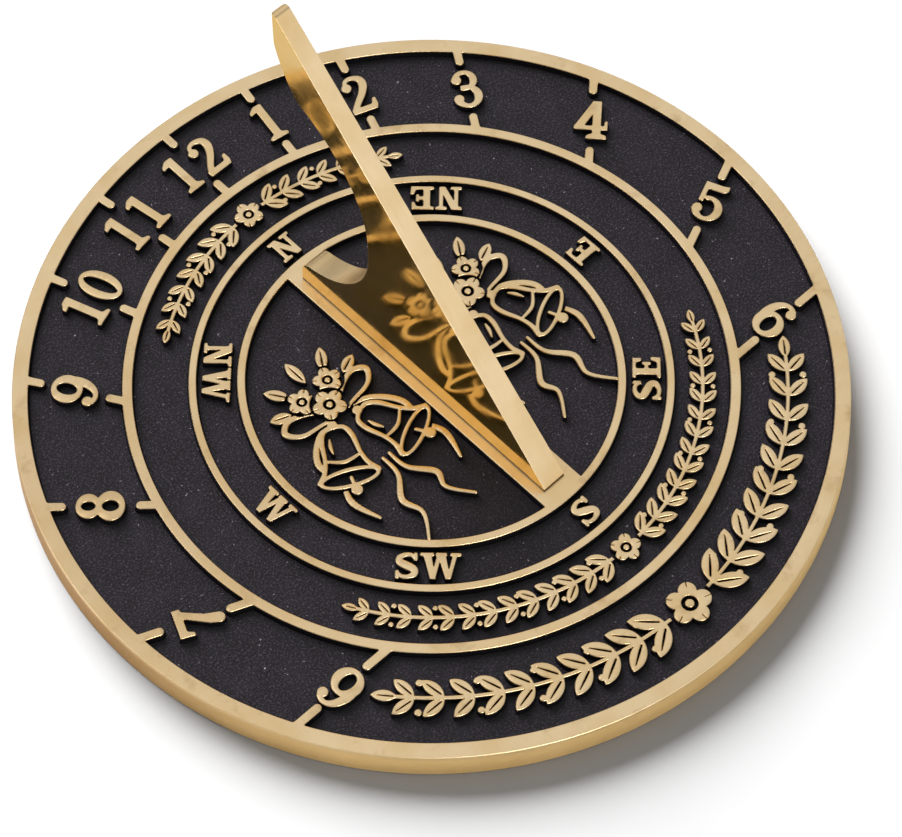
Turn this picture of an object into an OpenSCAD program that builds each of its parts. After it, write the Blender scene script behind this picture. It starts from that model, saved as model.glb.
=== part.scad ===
// Horizontal sundial: a cast brass dial with raised rings, hour marks and garlands of leaves,
// black enamel in its recesses, and a separate polished gnomon held by two screws from below.
// The origin is the centre of the underside. +Z is up, +Y is north and +X is east.

/* [Dial plate] */
// Diameter of the dial
dial_d = 196; // [186:1:220]
// Thickness of the dial, from the underside to the brass faces
plate_t = 7.7; // [6.5:0.1:12]
// Depth of the recesses below the brass faces
relief_d = 2; // [1.2:0.1:3]
// Slope of the raised walls away from upright, as a casting needs to leave its mould
draft = 10; // [2:1:18]
// Bevel along the upper edges of everything raised
arris = 0.25; // [0.1:0.05:0.4]
// Slope of the outer side away from upright
side_draft = 4; // [0:0.5:6]
// Bevel around the lower edge of the side
base_bevel = 0.6; // [0.2:0.1:1.2]

/* [Bands and rings] */
// Width of the rim's brass face
rim_w = 3.7; // [2.6:0.1:8]
// Width of the band that holds the hour numbers
hour_band_w = 21.8; // [18:0.1:26]
// Width of the ring inside the hour band
hour_ring_w = 2.4; // [2.2:0.1:4]
// Width of the band between the hour ring and the compass band
leaf_band_w = 13; // [9:0.1:16]
// Width of the ring inside that band
leaf_ring_w = 1.8; // [1:0.1:4]
// Width of the band that holds the compass letters
compass_band_w = 9.5; // [7:0.1:12]
// Width of the ring inside the compass band
compass_ring_w = 1.9; // [1:0.1:4]
// Width of the bar that crosses the middle from south to north and carries the gnomon
bar_w = 11.6; // [10:0.1:16]

/* [Hour marks] */
// Latitude that the hour lines are drawn for, in degrees
latitude = 39.5; // [30:0.5:58]
// Distance south of the dial's centre at which the hour lines meet
hour_origin = 44.8; // [36:0.1:48]
// Minutes by which the marks are moved on, for a place east of its time zone's meridian
time_shift = 2; // [-20:1:20]
// Width of an hour mark
tick_w = 2.1; // [1.2:0.1:2.2]
// Length of a mark, out from its ring or in from the rim
tick_len = 4; // [2:0.1:6]
// Extra length of a mark for each hour beyond four hours from noon
late_gain = 1.3; // [0:0.1:2]
// Bevel along the upper edges of an hour mark
mark_arris = 0.3; // [0.1:0.05:0.4]

/* [Leaf work] */
// Length of the largest leaf in the hour band
hour_leaf_len = 8.6; // [6:0.1:9.5]
// Width of that leaf
hour_leaf_w = 4; // [3:0.1:4.4]
// Distance between pairs of leaves in the hour band
hour_leaf_pitch = 6.4; // [6:0.1:9]
// Radius of the flower in the hour band
hour_flower_r = 5.4; // [4:0.1:6.5]
// Angle that the southern garland of the hour band reaches each way, in degrees
hour_garland_reach = 50; // [35:1:51]
// Length of the largest leaf in the leaf band
leaf_len = 5.6; // [4:0.1:6.2]
// Width of that leaf
leaf_w = 2.7; // [2:0.1:2.9]
// Distance between pairs of leaves in the leaf band
leaf_pitch = 4.6; // [4.4:0.1:7]
// Radius of the flowers in the leaf band
flower_r = 3.6; // [3:0.1:4]
// Angle that the southern garland of the leaf band reaches each way, in degrees
south_reach = 60; // [40:1:75]
// Angle that the northern garland of the leaf band reaches each way, in degrees
north_reach = 35; // [25:1:75]
// Width of a garland's stalk
stalk_w = 0.9; // [0.7:0.1:1.2]
// Slant of the leaves away from their stalk, in degrees
leaf_slant = 40; // [32:1:48]
// Share by which the leaves grow smaller towards the end of a branch
leaf_taper = 0.3; // [0:0.05:0.5]

/* [Enamel] */
// Thickness of the enamel on the floor of the recesses
enamel_t = 0.3; // [0.1:0.05:0.6]
// Gap between the edge of the enamel and the foot of a raised wall
enamel_gap = 0.05; // [0.02:0.01:0.2]

/* [Gnomon] */
// Angle of the style, the sloping upper face, above the dial
style_angle = 47.6; // [44:0.1:52]
// Height of the style's end above the dial, before its corner is rounded
style_h = 98; // [90:0.5:106]
// Thickness at the dial
gnomon_t = 6.4; // [5.6:0.1:8]
// Thickness at the style's end
tip_t = 4.1; // [3.6:0.1:5.4]
// Distance from the compass ring to the gnomon's southern end
toe_gap = 3.3; // [1:0.1:6]
// Distance from the compass ring to the gnomon's northern end
heel_gap = 2.8; // [1:0.1:6]
// Height of the small upright face at the southern end
toe_h = 0.8; // [0.4:0.1:2]
// Radius of the corner at the style's end, seen from the side
tip_r = 1.4; // [0.8:0.1:3]
// Radius of the style's end, seen from above
tip_end_r = 2.6; // [2.4:0.1:4]
// Distance north of the centre that the upper back edge reaches
back_y = 47.8; // [45:0.1:50]
// Height above the dial at which the upper back edge stands upright
back_z = 95; // [88:0.5:98]
// Radius of the upper back edge
back_r = 42; // [32:0.5:52]
// Radius of the corner between the upper back edge and the hollow
beak_r = 4; // [1.5:0.1:6]
// Distance from the dial's centre to the deepest point of the hollow
hollow_y = 17.8; // [13:0.1:21]
// Height above the dial at which the hollow's lower curve runs level
hollow_floor = 6.9; // [5:0.1:9]
// Height above the dial at which the hollow's upper curve runs level
hollow_top = 73.5; // [70:0.5:79]
// Radius of the hollow's lower curve
low_r = 25.5; // [24:0.5:31]
// Radius of the hollow's upper curve
high_r = 37; // [33:0.5:40]
// Radius of the corner at the heel
heel_r = 4; // [2:0.1:5]

/* [Screws] */
// Diameter of a screw's shank
screw_d = 3; // [2.5:0.5:3.5]
// Diameter of a screw's head
head_d = 5.6; // [5:0.1:6.5]
// Depth of a head below the underside
head_sink = 0.4; // [0.2:0.1:1]
// Length of shank inside the gnomon
bite = 6.5; // [4:0.5:7]
// Distance from the gnomon's southern end to the first screw
screw_south = 25; // [20:0.5:34]
// Distance from the gnomon's northern end to the second screw
screw_north = 12.5; // [8:0.5:16]
// Width of the slot in a head
slot_w = 0.8; // [0.5:0.1:1.2]
// Depth of the slot in a head
slot_d = 0.7; // [0.4:0.1:1]
// Gap all round a shank in the dial
shank_gap = 0.2; // [0.1:0.05:0.4]
// Gap all round a shank in the gnomon, where the threads meet
thread_gap = 0.03; // [0.01:0.01:0.1]
// Gap between a head and its countersink
head_gap = 0.05; // [0.02:0.01:0.2]
// Empty depth of a tapped hole beyond the end of its screw
hole_spare = 1.5; // [0.5:0.1:2.5]

/* [Hidden] */

$fn = 120;
brass = [0.80, 0.66, 0.42];
polished = [0.72, 0.54, 0.28];
screw_brass = [0.68, 0.52, 0.30];
enamel = [0.10, 0.10, 0.12];

dial_r = dial_d / 2;
floor_z = plate_t - relief_d;
// Depth that a raised piece is rooted into the plate under it
root = 0.5;
// How far a raised wall leans out between its arris and the floor, and then down to its root
lean = (relief_d - arris) * tan(draft);
root_lean = root * tan(draft);
// How far the side leans in between its lower bevel and the rim's face
side_lean = (plate_t - base_bevel) * tan(side_draft);
// Overlap of a cut past the face that it starts from
past = 1;
// How far a rounding's centre is moved out, so that its circle crosses the two edges that it
// joins and doesn't just touch them
cross = 0.02;

// Radii of the brass edges, from the rim inwards
rim_in = dial_r - side_lean - rim_w;
hour_ring_out = rim_in - hour_band_w;
hour_ring_in = hour_ring_out - hour_ring_w;
leaf_ring_out = hour_ring_in - leaf_band_w;
leaf_ring_in = leaf_ring_out - leaf_ring_w;
compass_ring_out = leaf_ring_in - compass_band_w;
field_r = compass_ring_out - compass_ring_w;

// Radii of the two circles that the garlands' stalks follow
hour_garland_r = rim_in - hour_band_w / 2;
leaf_garland_r = hour_ring_in - leaf_band_w / 2;
// Distance between a stalk's middle line and the point that a leaf grows from
leaf_root = stalk_w / 4;

// Southern and northern ends of the gnomon
toe_y = -(field_r - toe_gap);
heel_y = field_r - heel_gap;
screw_ys = [toe_y + screw_south, heel_y - screw_north];
shank_r = screw_d / 2;
head_r = head_d / 2;

// Cross-section of a raised land of width w at its face. Its walls lean out downwards from the
// bevelled edges, and run on below the floor of the recess to its root.
function land_section(w) = [
    [-w / 2 - lean - root_lean, -root],
    [w / 2 + lean + root_lean, -root],
    [w / 2, relief_d - arris],
    [w / 2 - arris, relief_d],
    [-w / 2 + arris, relief_d],
    [-w / 2, relief_d - arris]
];

// The same for an hour mark, which has its own bevel
function mark_section() = [
    [-tick_w / 2 - lean - root_lean, -root],
    [tick_w / 2 + lean + root_lean, -root],
    [tick_w / 2, relief_d - mark_arris],
    [tick_w / 2 - mark_arris, relief_d],
    [-tick_w / 2 + mark_arris, relief_d],
    [-tick_w / 2, relief_d - mark_arris]
];

// Right half of that section, for the round end of a mark
function mark_half_section() = [
    [0, -root],
    [tick_w / 2 + lean + root_lean, -root],
    [tick_w / 2, relief_d - mark_arris],
    [tick_w / 2 - mark_arris, relief_d],
    [0, relief_d]
];

module raised_ring(r_out, w)
    translate([0, 0, floor_z])
        rotate_extrude()
            translate([r_out - w / 2, 0])
                polygon(land_section(w));

// Bearing east of north of the hour line for h hours after noon. The sun moves on by 15 degrees
// in an hour.
function bearing(h) =
    let (sun = 15 * (h + time_shift / 60))
    atan2(sin(latitude) * sin(sun), cos(sun));

// Distance along that line, from where the lines meet to the circle of radius r
function reach(h, r) =
    let (along = hour_origin * cos(bearing(h)))
    along + sqrt(along * along - hour_origin * hour_origin + r * r);

function mark_len(h) = tick_len + late_gain * max(0, abs(h) - 4);

// Runs a shape along the line of hour h, with its own +Y pointing outwards
module on_hour_line(h, distance)
    translate([0, -hour_origin, floor_z])
        rotate([0, 0, -bearing(h)])
            translate([0, distance, 0])
                children();

// A raised mark that runs along +Y from its own origin for a length len and then ends in a
// half turn of the same section
module raised_mark(len) {
    rotate([90, 0, 180])
        linear_extrude(len)
            polygon(mark_section());
    translate([0, len, 0])
        rotate_extrude(angle = 180, $fn = 96)
            polygon(mark_half_section());
}

// Distances along the line of hour h at which the two marks are rooted in the brass that
// carries them, and at which their round ends are centred
function rim_root(h) = reach(h, rim_in + rim_w / 2);
function rim_end(h) = reach(h, rim_in) - mark_len(h) + tick_w / 2;
function ring_root(h) = reach(h, hour_ring_out - hour_ring_w / 2);
function ring_end(h) = reach(h, hour_ring_out) + mark_len(h) - tick_w / 2;

// The pair of marks at hour h: one in from the rim and one out from the hour ring
module hour_marks(h) {
    on_hour_line(h, rim_root(h))
        rotate([0, 0, 180])
            raised_mark(rim_root(h) - rim_end(h));
    on_hour_line(h, ring_root(h))
        raised_mark(ring_end(h) - ring_root(h));
}

// The bar is drawn to the middle of the compass ring at both ends
module bar() {
    half_len = field_r + compass_ring_w / 2;
    translate([0, -half_len, floor_z])
        rotate([90, 0, 180])
            linear_extrude(2 * half_len)
                polygon(land_section(bar_w));
}

// Flat outline of a pointed leaf that grows from the origin along +Y: two arcs that meet at both
// ends. Each flat outline of the leaf work takes a margin that it adds all round.
module leaf_outline(len, w, margin) {
    r = (len * len + w * w) / (4 * w);
    intersection() {
        translate([r - w / 2, len / 2])
            circle(r + margin);
        translate([w / 2 - r, len / 2])
            circle(r + margin);
    }
}

// Five round petals about a disc
module flower_outline(r, margin) {
    circle(r / 2 + margin);
    for (k = [0:4])
        rotate(72 * k)
            translate([0, 0.6 * r])
                circle(0.4 * r + margin);
}

// Puts a flat outline on the circle of radius r at a bearing, with its own +Y pointing outwards
module at_bearing(r, bearing)
    rotate(-bearing)
        translate([0, r])
            children();

// Half of a garland: a stalk that runs along the circle of radius r from bearing 0 to reach,
// clockwise or, with way -1, anticlockwise. Pairs of leaves grow from it, starting at the
// bearing first, and one more leaf closes its end.
module branch_outline(r, reach, way, first, len, w, pitch, margin) {
    pairs = floor((reach - first) * PI / 180 * r / pitch);
    far = 2 * r;
    intersection() {
        difference() {
            circle(r + stalk_w / 2 + margin, $fn = 240);
            circle(r - stalk_w / 2 - margin, $fn = 240);
        }
        polygon([
            [0, 0],
            [0, far],
            [way * far * sin(reach / 2), far * cos(reach / 2)],
            [way * far * sin(reach), far * cos(reach)]
        ]);
    }
    for (k = [0 : pairs - 1], side = [-1, 1])
        let (size = 1 - leaf_taper * k / pairs)
        at_bearing(r + side * leaf_root, way * (first + (reach - first) * (k + 0.3) / pairs))
            rotate(way * (side * leaf_slant - 90))
                leaf_outline(len * size, w * size, margin);
    at_bearing(r, way * (reach - stalk_w / r * 180 / PI))
        rotate(-90 * way)
            leaf_outline(len * (1 - leaf_taper), w * (1 - leaf_taper), margin);
}

// Two branches that run apart from a flower at a bearing
module garland_outline(r, middle, reach, len, w, pitch, flower, margin)
    rotate(-middle) {
        for (way = [-1, 1])
            branch_outline(r, reach, way, flower / r * 180 / PI, len, w, pitch, margin);
        at_bearing(r, 0)
            flower_outline(flower, margin);
    }

module hour_garland_outline(margin)
    garland_outline(hour_garland_r, 180, hour_garland_reach, hour_leaf_len, hour_leaf_w,
                    hour_leaf_pitch, hour_flower_r, margin);

module leaf_garlands_outline(margin) {
    garland_outline(leaf_garland_r, 180, south_reach, leaf_len, leaf_w, leaf_pitch, flower_r,
                    margin);
    garland_outline(leaf_garland_r, 0, north_reach, leaf_len, leaf_w, leaf_pitch, flower_r,
                    margin);
}

// Garlands of leaves in the hour band and the leaf band, with upright walls
module leaf_work()
    translate([0, 0, floor_z - root])
        linear_extrude(root + relief_d) {
            hour_garland_outline(0);
            leaf_garlands_outline(0);
        }

// Disc and rim in one turn: underside, bevelled foot, side, rim face and floor
module disc_and_rim() {
    rotate_extrude($fn = 240)
        polygon([
            [0, 0],
            [dial_r - base_bevel, 0],
            [dial_r, base_bevel],
            [dial_r - side_lean, plate_t - arris],
            [dial_r - side_lean - arris, plate_t],
            [rim_in + arris, plate_t],
            [rim_in, plate_t - arris],
            [rim_in - lean, floor_z],
            [0, floor_z]
        ]);
}

// Clearance hole and countersink for one screw, up from the underside
module screw_hole() {
    translate([0, 0, -past])
        cylinder(h = plate_t + 2 * past, r = shank_r + shank_gap);
    translate([0, 0, -past])
        cylinder(h = past + head_sink, r = head_r + head_gap);
    translate([0, 0, head_sink])
        cylinder(h = head_r + head_gap, r1 = head_r + head_gap, r2 = 0);
}

module dial_plate() {
    color(brass)
        difference() {
            union() {
                disc_and_rim();
                raised_ring(hour_ring_out, hour_ring_w);
                raised_ring(leaf_ring_out, leaf_ring_w);
                raised_ring(compass_ring_out, compass_ring_w);
                bar();
                for (h = [-6:6])
                    hour_marks(h);
                leaf_work();
            }
            for (y = screw_ys)
                translate([0, y, 0])
                    screw_hole();
        }
}

// Where a circle of radius r1 about c1 meets a circle of radius r2 about c2, on the left of the
// way from c1 to c2
function meet(c1, r1, c2, r2) =
    let (
        way = c2 - c1,
        d = norm(way),
        a = (d * d + r1 * r1 - r2 * r2) / (2 * d),
        h = sqrt(r1 * r1 - a * a),
        u = way / d
    )
    c1 + a * u + h * [-u[1], u[0]];

function unit(v) = v / norm(v);

// Rounds a corner with a circle about c: cuts what lies beyond the circle, between the
// directions a and b in which the two edges are touched. The cut goes twice as far out as the
// point where the two tangents meet.
module corner_cut(c, r, a, b) {
    far = 2 * r / (1 + a * b);
    translate(c + cross * unit(a + b))
        difference() {
            polygon([[0, 0], far * a, far * (a + b), far * b]);
            circle(r, $fn = 64);
        }
}

// Half of a disc, above its centre or, with way -1, below it
module half_disc(r, way)
    intersection() {
        circle(r, $fn = 160);
        translate([-2 * r, way > 0 ? 0 : -2 * r])
            square([4 * r, 2 * r]);
    }

// Side view of the gnomon, with north to the right and heights above the dial's face
module gnomon_outline() {
    style_way = [cos(style_angle), sin(style_angle)];
    style_up = [-sin(style_angle), cos(style_angle)];
    toe = [toe_y, toe_h];
    tip_y = toe_y + (style_h - toe_h) / tan(style_angle);
    back_c = [back_y - back_r, back_z];
    low_c = [hollow_y + low_r, hollow_floor + low_r];
    high_c = [hollow_y + high_r, hollow_top - high_r];

    // The tip's circle touches the style from below and the back edge from inside
    inset_toe = toe - tip_r * style_up;
    to_back = back_c - inset_toe;
    along = to_back * style_way;
    off = to_back * style_up;
    tip_c = inset_toe + (along + sqrt(pow(back_r - tip_r, 2) - off * off)) * style_way;

    // The beak's circle lies inside the back edge and outside the hollow
    beak_c = meet(back_c, back_r - beak_r, high_c, high_r + beak_r);

    // The heel's circle touches the upright northern end and the hollow
    heel_c = [
        heel_y - heel_r,
        low_c[1] - sqrt(pow(low_r + heel_r, 2) - pow(heel_y - heel_r - low_c[0], 2))
    ];

    difference() {
        // What lies under the style: as far north as the heel below, and above that as far as
        // the beak and the upper back edge
        intersection() {
            polygon([
                [toe_y, 0],
                toe,
                [tip_y, style_h],
                [tip_y, 0]
            ]);
            union() {
                translate([toe_y, 0])
                    square([heel_y - toe_y, low_c[1]]);
                translate([toe_y, 0])
                    square([beak_c[0] - toe_y, back_z]);
                translate(back_c)
                    circle(back_r, $fn = 160);
            }
        }
        // The hollow between the blade and the heel: half a disc below, half a disc above and
        // the upright stretch between them
        translate(low_c)
            half_disc(low_r, -1);
        translate(high_c)
            half_disc(high_r, 1);
        translate([hollow_y, min(low_c[1], high_c[1])])
            square([low_r + high_r, abs(high_c[1] - low_c[1])]);
        corner_cut(tip_c, tip_r, style_up, unit(tip_c - back_c));
        corner_cut(beak_c, beak_r, unit(beak_c - back_c), unit(high_c - beak_c));
        corner_cut(heel_c, heel_r, [1, 0], unit(low_c - heel_c));
    }
}

// View from above that rounds the blade's end and leaves the rest of the gnomon whole
module plan_outline() {
    end_y = back_y - tip_end_r;
    translate([-gnomon_t, toe_y - past])
        square([2 * gnomon_t, end_y - toe_y + past]);
    translate([0, end_y])
        circle(tip_end_r, $fn = 96);
}

module gnomon() {
    color(polished)
        difference() {
            intersection() {
                // The side view, drawn across the full thickness
                translate([-gnomon_t, 0, plate_t])
                    rotate([90, 0, 90])
                        linear_extrude(2 * gnomon_t)
                            gnomon_outline();
                // The two sides, which draw together towards the tip
                translate([0, toe_y - past, plate_t])
                    rotate([90, 0, 180])
                        linear_extrude(back_y - toe_y + 2 * past)
                            polygon([
                                [-gnomon_t / 2, 0],
                                [gnomon_t / 2, 0],
                                [tip_t / 2, style_h],
                                [-tip_t / 2, style_h]
                            ]);
                // The round end of the blade, seen from above
                translate([0, 0, plate_t])
                    linear_extrude(style_h)
                        plan_outline();
            }
            for (y = screw_ys)
                translate([0, y, plate_t - past])
                    cylinder(h = past + bite + hole_spare, r = shank_r + thread_gap);
        }
}

// One countersunk screw with a slotted head, driven up from the underside
module gnomon_screw() {
    difference() {
        union() {
            translate([0, 0, head_sink])
                cylinder(h = head_r, r1 = head_r, r2 = 0);
            translate([0, 0, head_sink])
                cylinder(h = plate_t - head_sink + bite, r = shank_r, $fn = 48);
        }
        translate([-head_d, -slot_w / 2, head_sink - past])
            cube([2 * head_d, slot_w, past + slot_d]);
    }
}

module gnomon_screws() {
    color(screw_brass)
        for (y = screw_ys)
            translate([0, y, 0])
                gnomon_screw();
}

// A flat coat of enamel between two brass edges, drawn back from the feet of their walls
module enamel_band(r_out, r_in)
    translate([0, 0, floor_z])
        difference() {
            cylinder(h = enamel_t, r = r_out - lean - enamel_gap, $fn = 240);
            translate([0, 0, -past])
                cylinder(h = enamel_t + 2 * past, r = r_in + lean + enamel_gap, $fn = 240);
        }

// The space that one mark and its margin take up in the enamel, laid out as raised_mark is
module mark_clearance(len) {
    clear = tick_w / 2 + lean + enamel_gap;
    translate([-clear, 0, -past])
        cube([2 * clear, len, enamel_t + 2 * past]);
    translate([0, len, -past])
        rotate_extrude(angle = 180, $fn = 96)
            square([clear, enamel_t + 2 * past]);
}

module hour_marks_clearance(h) {
    on_hour_line(h, rim_root(h))
        rotate([0, 0, 180])
            mark_clearance(rim_root(h) - rim_end(h));
    on_hour_line(h, ring_root(h))
        mark_clearance(ring_end(h) - ring_root(h));
}

// Cuts a flat outline through the enamel
module through_enamel()
    translate([0, 0, floor_z - past])
        linear_extrude(enamel_t + 2 * past)
            children();

module enamel_hour_band() {
    color(enamel)
        difference() {
            enamel_band(rim_in, hour_ring_out);
            for (h = [-6:6])
                hour_marks_clearance(h);
            through_enamel()
                hour_garland_outline(enamel_gap);
        }
}

module enamel_leaf_band() {
    color(enamel)
        difference() {
            enamel_band(hour_ring_in, leaf_ring_out);
            through_enamel()
                leaf_garlands_outline(enamel_gap);
        }
}

module enamel_compass_band() {
    color(enamel)
        enamel_band(leaf_ring_in, compass_ring_out);
}

// Half of the middle field, on the side of the bar that the sign gives: -1 west, 1 east
module enamel_field(side) {
    edge = bar_w / 2 + lean + enamel_gap;
    color(enamel)
        translate([0, 0, floor_z])
            intersection() {
                cylinder(h = enamel_t, r = field_r - lean - enamel_gap, $fn = 240);
                translate([side > 0 ? edge : -edge - field_r, -field_r, -past])
                    cube([field_r, 2 * field_r, enamel_t + 2 * past]);
            }
}

module enamel_west_field() enamel_field(-1);

module enamel_east_field() enamel_field(1);

dial_plate();
gnomon();
gnomon_screws();
enamel_hour_band();
enamel_leaf_band();
enamel_compass_band();
enamel_west_field();
enamel_east_field();
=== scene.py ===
"""A cast brass horizontal sundial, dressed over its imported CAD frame.

The frame gives the dial plate with its garlands, the gnomon, its screws and the enamel. This
script replaces the plate, the garlands and the gnomon with forms of the same sizes whose edges are
softened, adds the finer relief (hour numbers, compass letters and a pair of bells in each half),
and makes the materials, the studio and the camera.

Sizes are in millimetres and turn into metres when a mesh is made. +Y is north, +X is east.
"""

import math

import bmesh
import bpy
import numpy as np
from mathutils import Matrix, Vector
from mathutils.geometry import delaunay_2d_cdt


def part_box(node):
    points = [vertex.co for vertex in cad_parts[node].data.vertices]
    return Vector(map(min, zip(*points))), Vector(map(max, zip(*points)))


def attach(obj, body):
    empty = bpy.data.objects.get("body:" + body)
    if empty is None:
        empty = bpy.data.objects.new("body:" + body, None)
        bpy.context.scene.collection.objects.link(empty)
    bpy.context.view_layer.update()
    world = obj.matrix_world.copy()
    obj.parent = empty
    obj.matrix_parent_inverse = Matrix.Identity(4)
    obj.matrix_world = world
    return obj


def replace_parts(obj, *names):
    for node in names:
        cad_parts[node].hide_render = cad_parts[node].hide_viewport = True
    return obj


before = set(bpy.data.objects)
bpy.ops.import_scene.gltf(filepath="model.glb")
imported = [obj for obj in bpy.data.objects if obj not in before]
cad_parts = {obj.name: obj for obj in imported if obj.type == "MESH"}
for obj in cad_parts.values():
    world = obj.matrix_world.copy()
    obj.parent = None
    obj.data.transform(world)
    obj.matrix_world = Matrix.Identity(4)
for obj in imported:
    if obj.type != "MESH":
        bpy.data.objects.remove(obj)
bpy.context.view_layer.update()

MM = 0.001
BODY = "root"


def corners(node):
    """Lowest and highest corner of a CAD node's box, in millimetres."""
    low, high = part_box(node)
    return low / MM, high / MM


# Levels and places that the frame gives
DIAL_R = -corners("dial_plate")[0].x
FACE_Z = corners("dial_plate")[1].z
FLOOR_Z = corners("enamel_hour_band")[0].z
SCREW_ENDS = [corner.y for corner in corners("gnomon_screws")]

# Section of the dial plate
BASE_BEVEL = 0.6
SIDE_DRAFT = 4
SIDE_LEAN = (FACE_Z - BASE_BEVEL) * math.tan(math.radians(SIDE_DRAFT))
HEAD_R = 2.8
HEAD_GAP = 0.05
HEAD_SINK = 0.4
SCREW_HOLE_R = 1.7
SCREW_YS = (SCREW_ENDS[0] + HEAD_R, SCREW_ENDS[1] - HEAD_R)

# Layout of the dial, from the rim inwards
RIM_W = 3.7
HOUR_BAND_W = 21.8
HOUR_RING_W = 2.4
LEAF_BAND_W = 13.0
LEAF_RING_W = 1.8
COMPASS_BAND_W = 9.5
COMPASS_RING_W = 1.9
BAR_W = 11.6
RIM_OUT = DIAL_R - SIDE_LEAN
RIM_IN = RIM_OUT - RIM_W
HOUR_RING_OUT = RIM_IN - HOUR_BAND_W
HOUR_RING_IN = HOUR_RING_OUT - HOUR_RING_W
LEAF_RING_OUT = HOUR_RING_IN - LEAF_BAND_W
LEAF_RING_IN = LEAF_RING_OUT - LEAF_RING_W
COMPASS_RING_OUT = LEAF_RING_IN - COMPASS_BAND_W
FIELD_R = COMPASS_RING_OUT - COMPASS_RING_W
HOUR_MID = (RIM_IN + HOUR_RING_OUT) / 2
LEAF_MID = (HOUR_RING_IN + LEAF_RING_OUT) / 2
COMPASS_MID = (LEAF_RING_IN + COMPASS_RING_OUT) / 2

# Hour lines and their marks, which gain LATE_GAIN for each hour past LATE_HOUR from noon
LATITUDE = 39.5
HOUR_ORIGIN = 44.8
TIME_SHIFT_H = 2 / 60
TICK_W = 2.1
TICK_LEN = 4.0
LATE_HOUR = 4
LATE_GAIN = 1.3

# Leaf work of the hour band and of the band inside it, with each garland's reach in degrees
HOUR_LEAVES = {"length": 8.6, "width": 4.0, "pitch": 6.4, "bloom": 5.4}
INNER_LEAVES = {"length": 5.6, "width": 2.7, "pitch": 4.6, "bloom": 3.6}
HOUR_REACH = 50
SOUTH_REACH = 60
NORTH_REACH = 35
STALK_W = 0.9
LEAF_SLANT = 40
LEAF_TAPER = 0.3

# Middle of the western bells
MOTIF_X = -22.4
MOTIF_Y = -0.5

# The hand of the numbers
TALL = 11.4
STEM = 2.15
HAIR = 1.25
SLAB = 1.15
BALL = 1.3

# Numbers that stand a little off their hour lines, and by how much to the east and north
FIGURE_SHIFT = {-5: (1.2, -0.5), 6: (-0.4, 1.0)}

# The hand of the compass letters
CAP = 6.7
CAP_STEM = 1.7
CAP_HAIR = 1.05
CAP_SLAB = 0.9

# Section of all relief
ARRIS = 0.3
ARRIS_IN = 0.22
ARRIS_STEPS = 3
WALL_LEAN = 0.3
CORNER_R = 0.4
CORNER_SHARE = 0.45
CORNER_ANGLE = 25
CAST_CREASE = 40

# Weight of a large face in the shading of its corners, where 50 would be an even share
FACE_WEIGHT = 90

# Edges of the gnomon: their rounding, and the angles from which they round and crease
EDGE_R = 0.35
EDGE_STEPS = 3
EDGE_ANGLE = 35
EDGE_CREASE = 30

# Clean-up of its CAD mesh before that, and how squarely a polished side looks east or west
CAD_WELD = 0.002
CAD_FLAT = 0.6
SIDE_FACING = 0.9

# Fineness of outlines
STEP = 0.35
RING_STEP = 1.0
LEAST_EDGE = 0.1
LEAST_AREA = 0.02
LEAST_SHAPE = 1e-4
SLIVER = 1e-5
SHAPE_WELD = 1e-5
CAP_WELD = 1e-6
LEAST_MITRE = 0.7
BATCH = 500


# Flat shapes

def rotate(points, degrees):
    c, s = math.cos(math.radians(degrees)), math.sin(math.radians(degrees))
    return [(x * c - y * s, x * s + y * c) for x, y in points]


def move(points, dx, dy):
    return [(x + dx, y + dy) for x, y in points]


def mirror(points):
    return [(-x, y) for x, y in points]


def arc(cx, cy, rx, ry, start, end, step=STEP):
    """Points along an ellipse, from one angle in degrees to another."""
    count = max(6, int(abs(math.radians(end - start)) * max(rx, ry) / step))
    turn = [math.radians(start + (end - start) * i / count) for i in range(count + 1)]
    return [(cx + rx * math.cos(a), cy + ry * math.sin(a)) for a in turn]


def disc(cx, cy, rx, ry=None):
    return arc(cx, cy, rx, ry or rx, 0, 360)[:-1]


def round_plate(r):
    """A large disc about the dial's centre."""
    return arc(0, 0, r, r, 0, 360, RING_STEP)[:-1]


def box(x0, y0, x1, y1):
    return [(x0, y0), (x1, y0), (x1, y1), (x0, y1)]


def bowl(cx, cy, rx, ry, side, end, start=0, stop=360):
    """A round stroke, side wide where it runs upright and end wide at its top and bottom."""
    middle = (start + stop) / 2
    return [
        arc(cx, cy, rx, ry, a, b) + arc(cx, cy, rx - side, ry - end, b, a)
        for a, b in ((start, middle), (middle, stop))
    ]


def smooth(points, count):
    """A Catmull-Rom curve through points of any dimension."""
    ends = [points[0]] + list(points) + [points[-1]]
    curve = []
    for p, q, r, s in zip(ends, ends[1:], ends[2:], ends[3:]):
        for i in range(count):
            t = i / count
            curve.append([
                (2 * b + (c - a) * t + (2 * a - 5 * b + 4 * c - d) * t**2
                 + (3 * b - a - 3 * c + d) * t**3) / 2
                for a, b, c, d in zip(p, q, r, s)
            ])
    return curve + [list(points[-1])]


def stroke(points, wider=0.0, count=7):
    """A brush stroke through points (x, y, width), as small triangles between round ends."""
    path = [(x, y, w / 2 + wider) for x, y, w in smooth(points, count)]
    sides = []
    for i, (x, y, half) in enumerate(path):
        x0, y0, _ = path[max(i - 1, 0)]
        x1, y1, _ = path[min(i + 1, len(path) - 1)]
        length = math.hypot(x1 - x0, y1 - y0)
        nx, ny = (y0 - y1) / length * half, (x1 - x0) / length * half
        sides.append(((x + nx, y + ny), (x - nx, y - ny)))
    pieces = []
    for (left, right), (next_left, next_right) in zip(sides, sides[1:]):
        pieces += [[left, right, next_right], [left, next_right, next_left]]
    return pieces + [disc(x, y, half) for x, y, half in (path[0], path[-1])]


# Painting: shapes are laid down in turn as (shape, is_brass), and the last one counts

def brass(shapes):
    return [(shape, True) for shape in shapes]


def bare(shapes):
    return [(shape, False) for shape in shapes]


def change(painted, how, *values):
    return [(how(shape, *values), solid) for shape, solid in painted]


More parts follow.
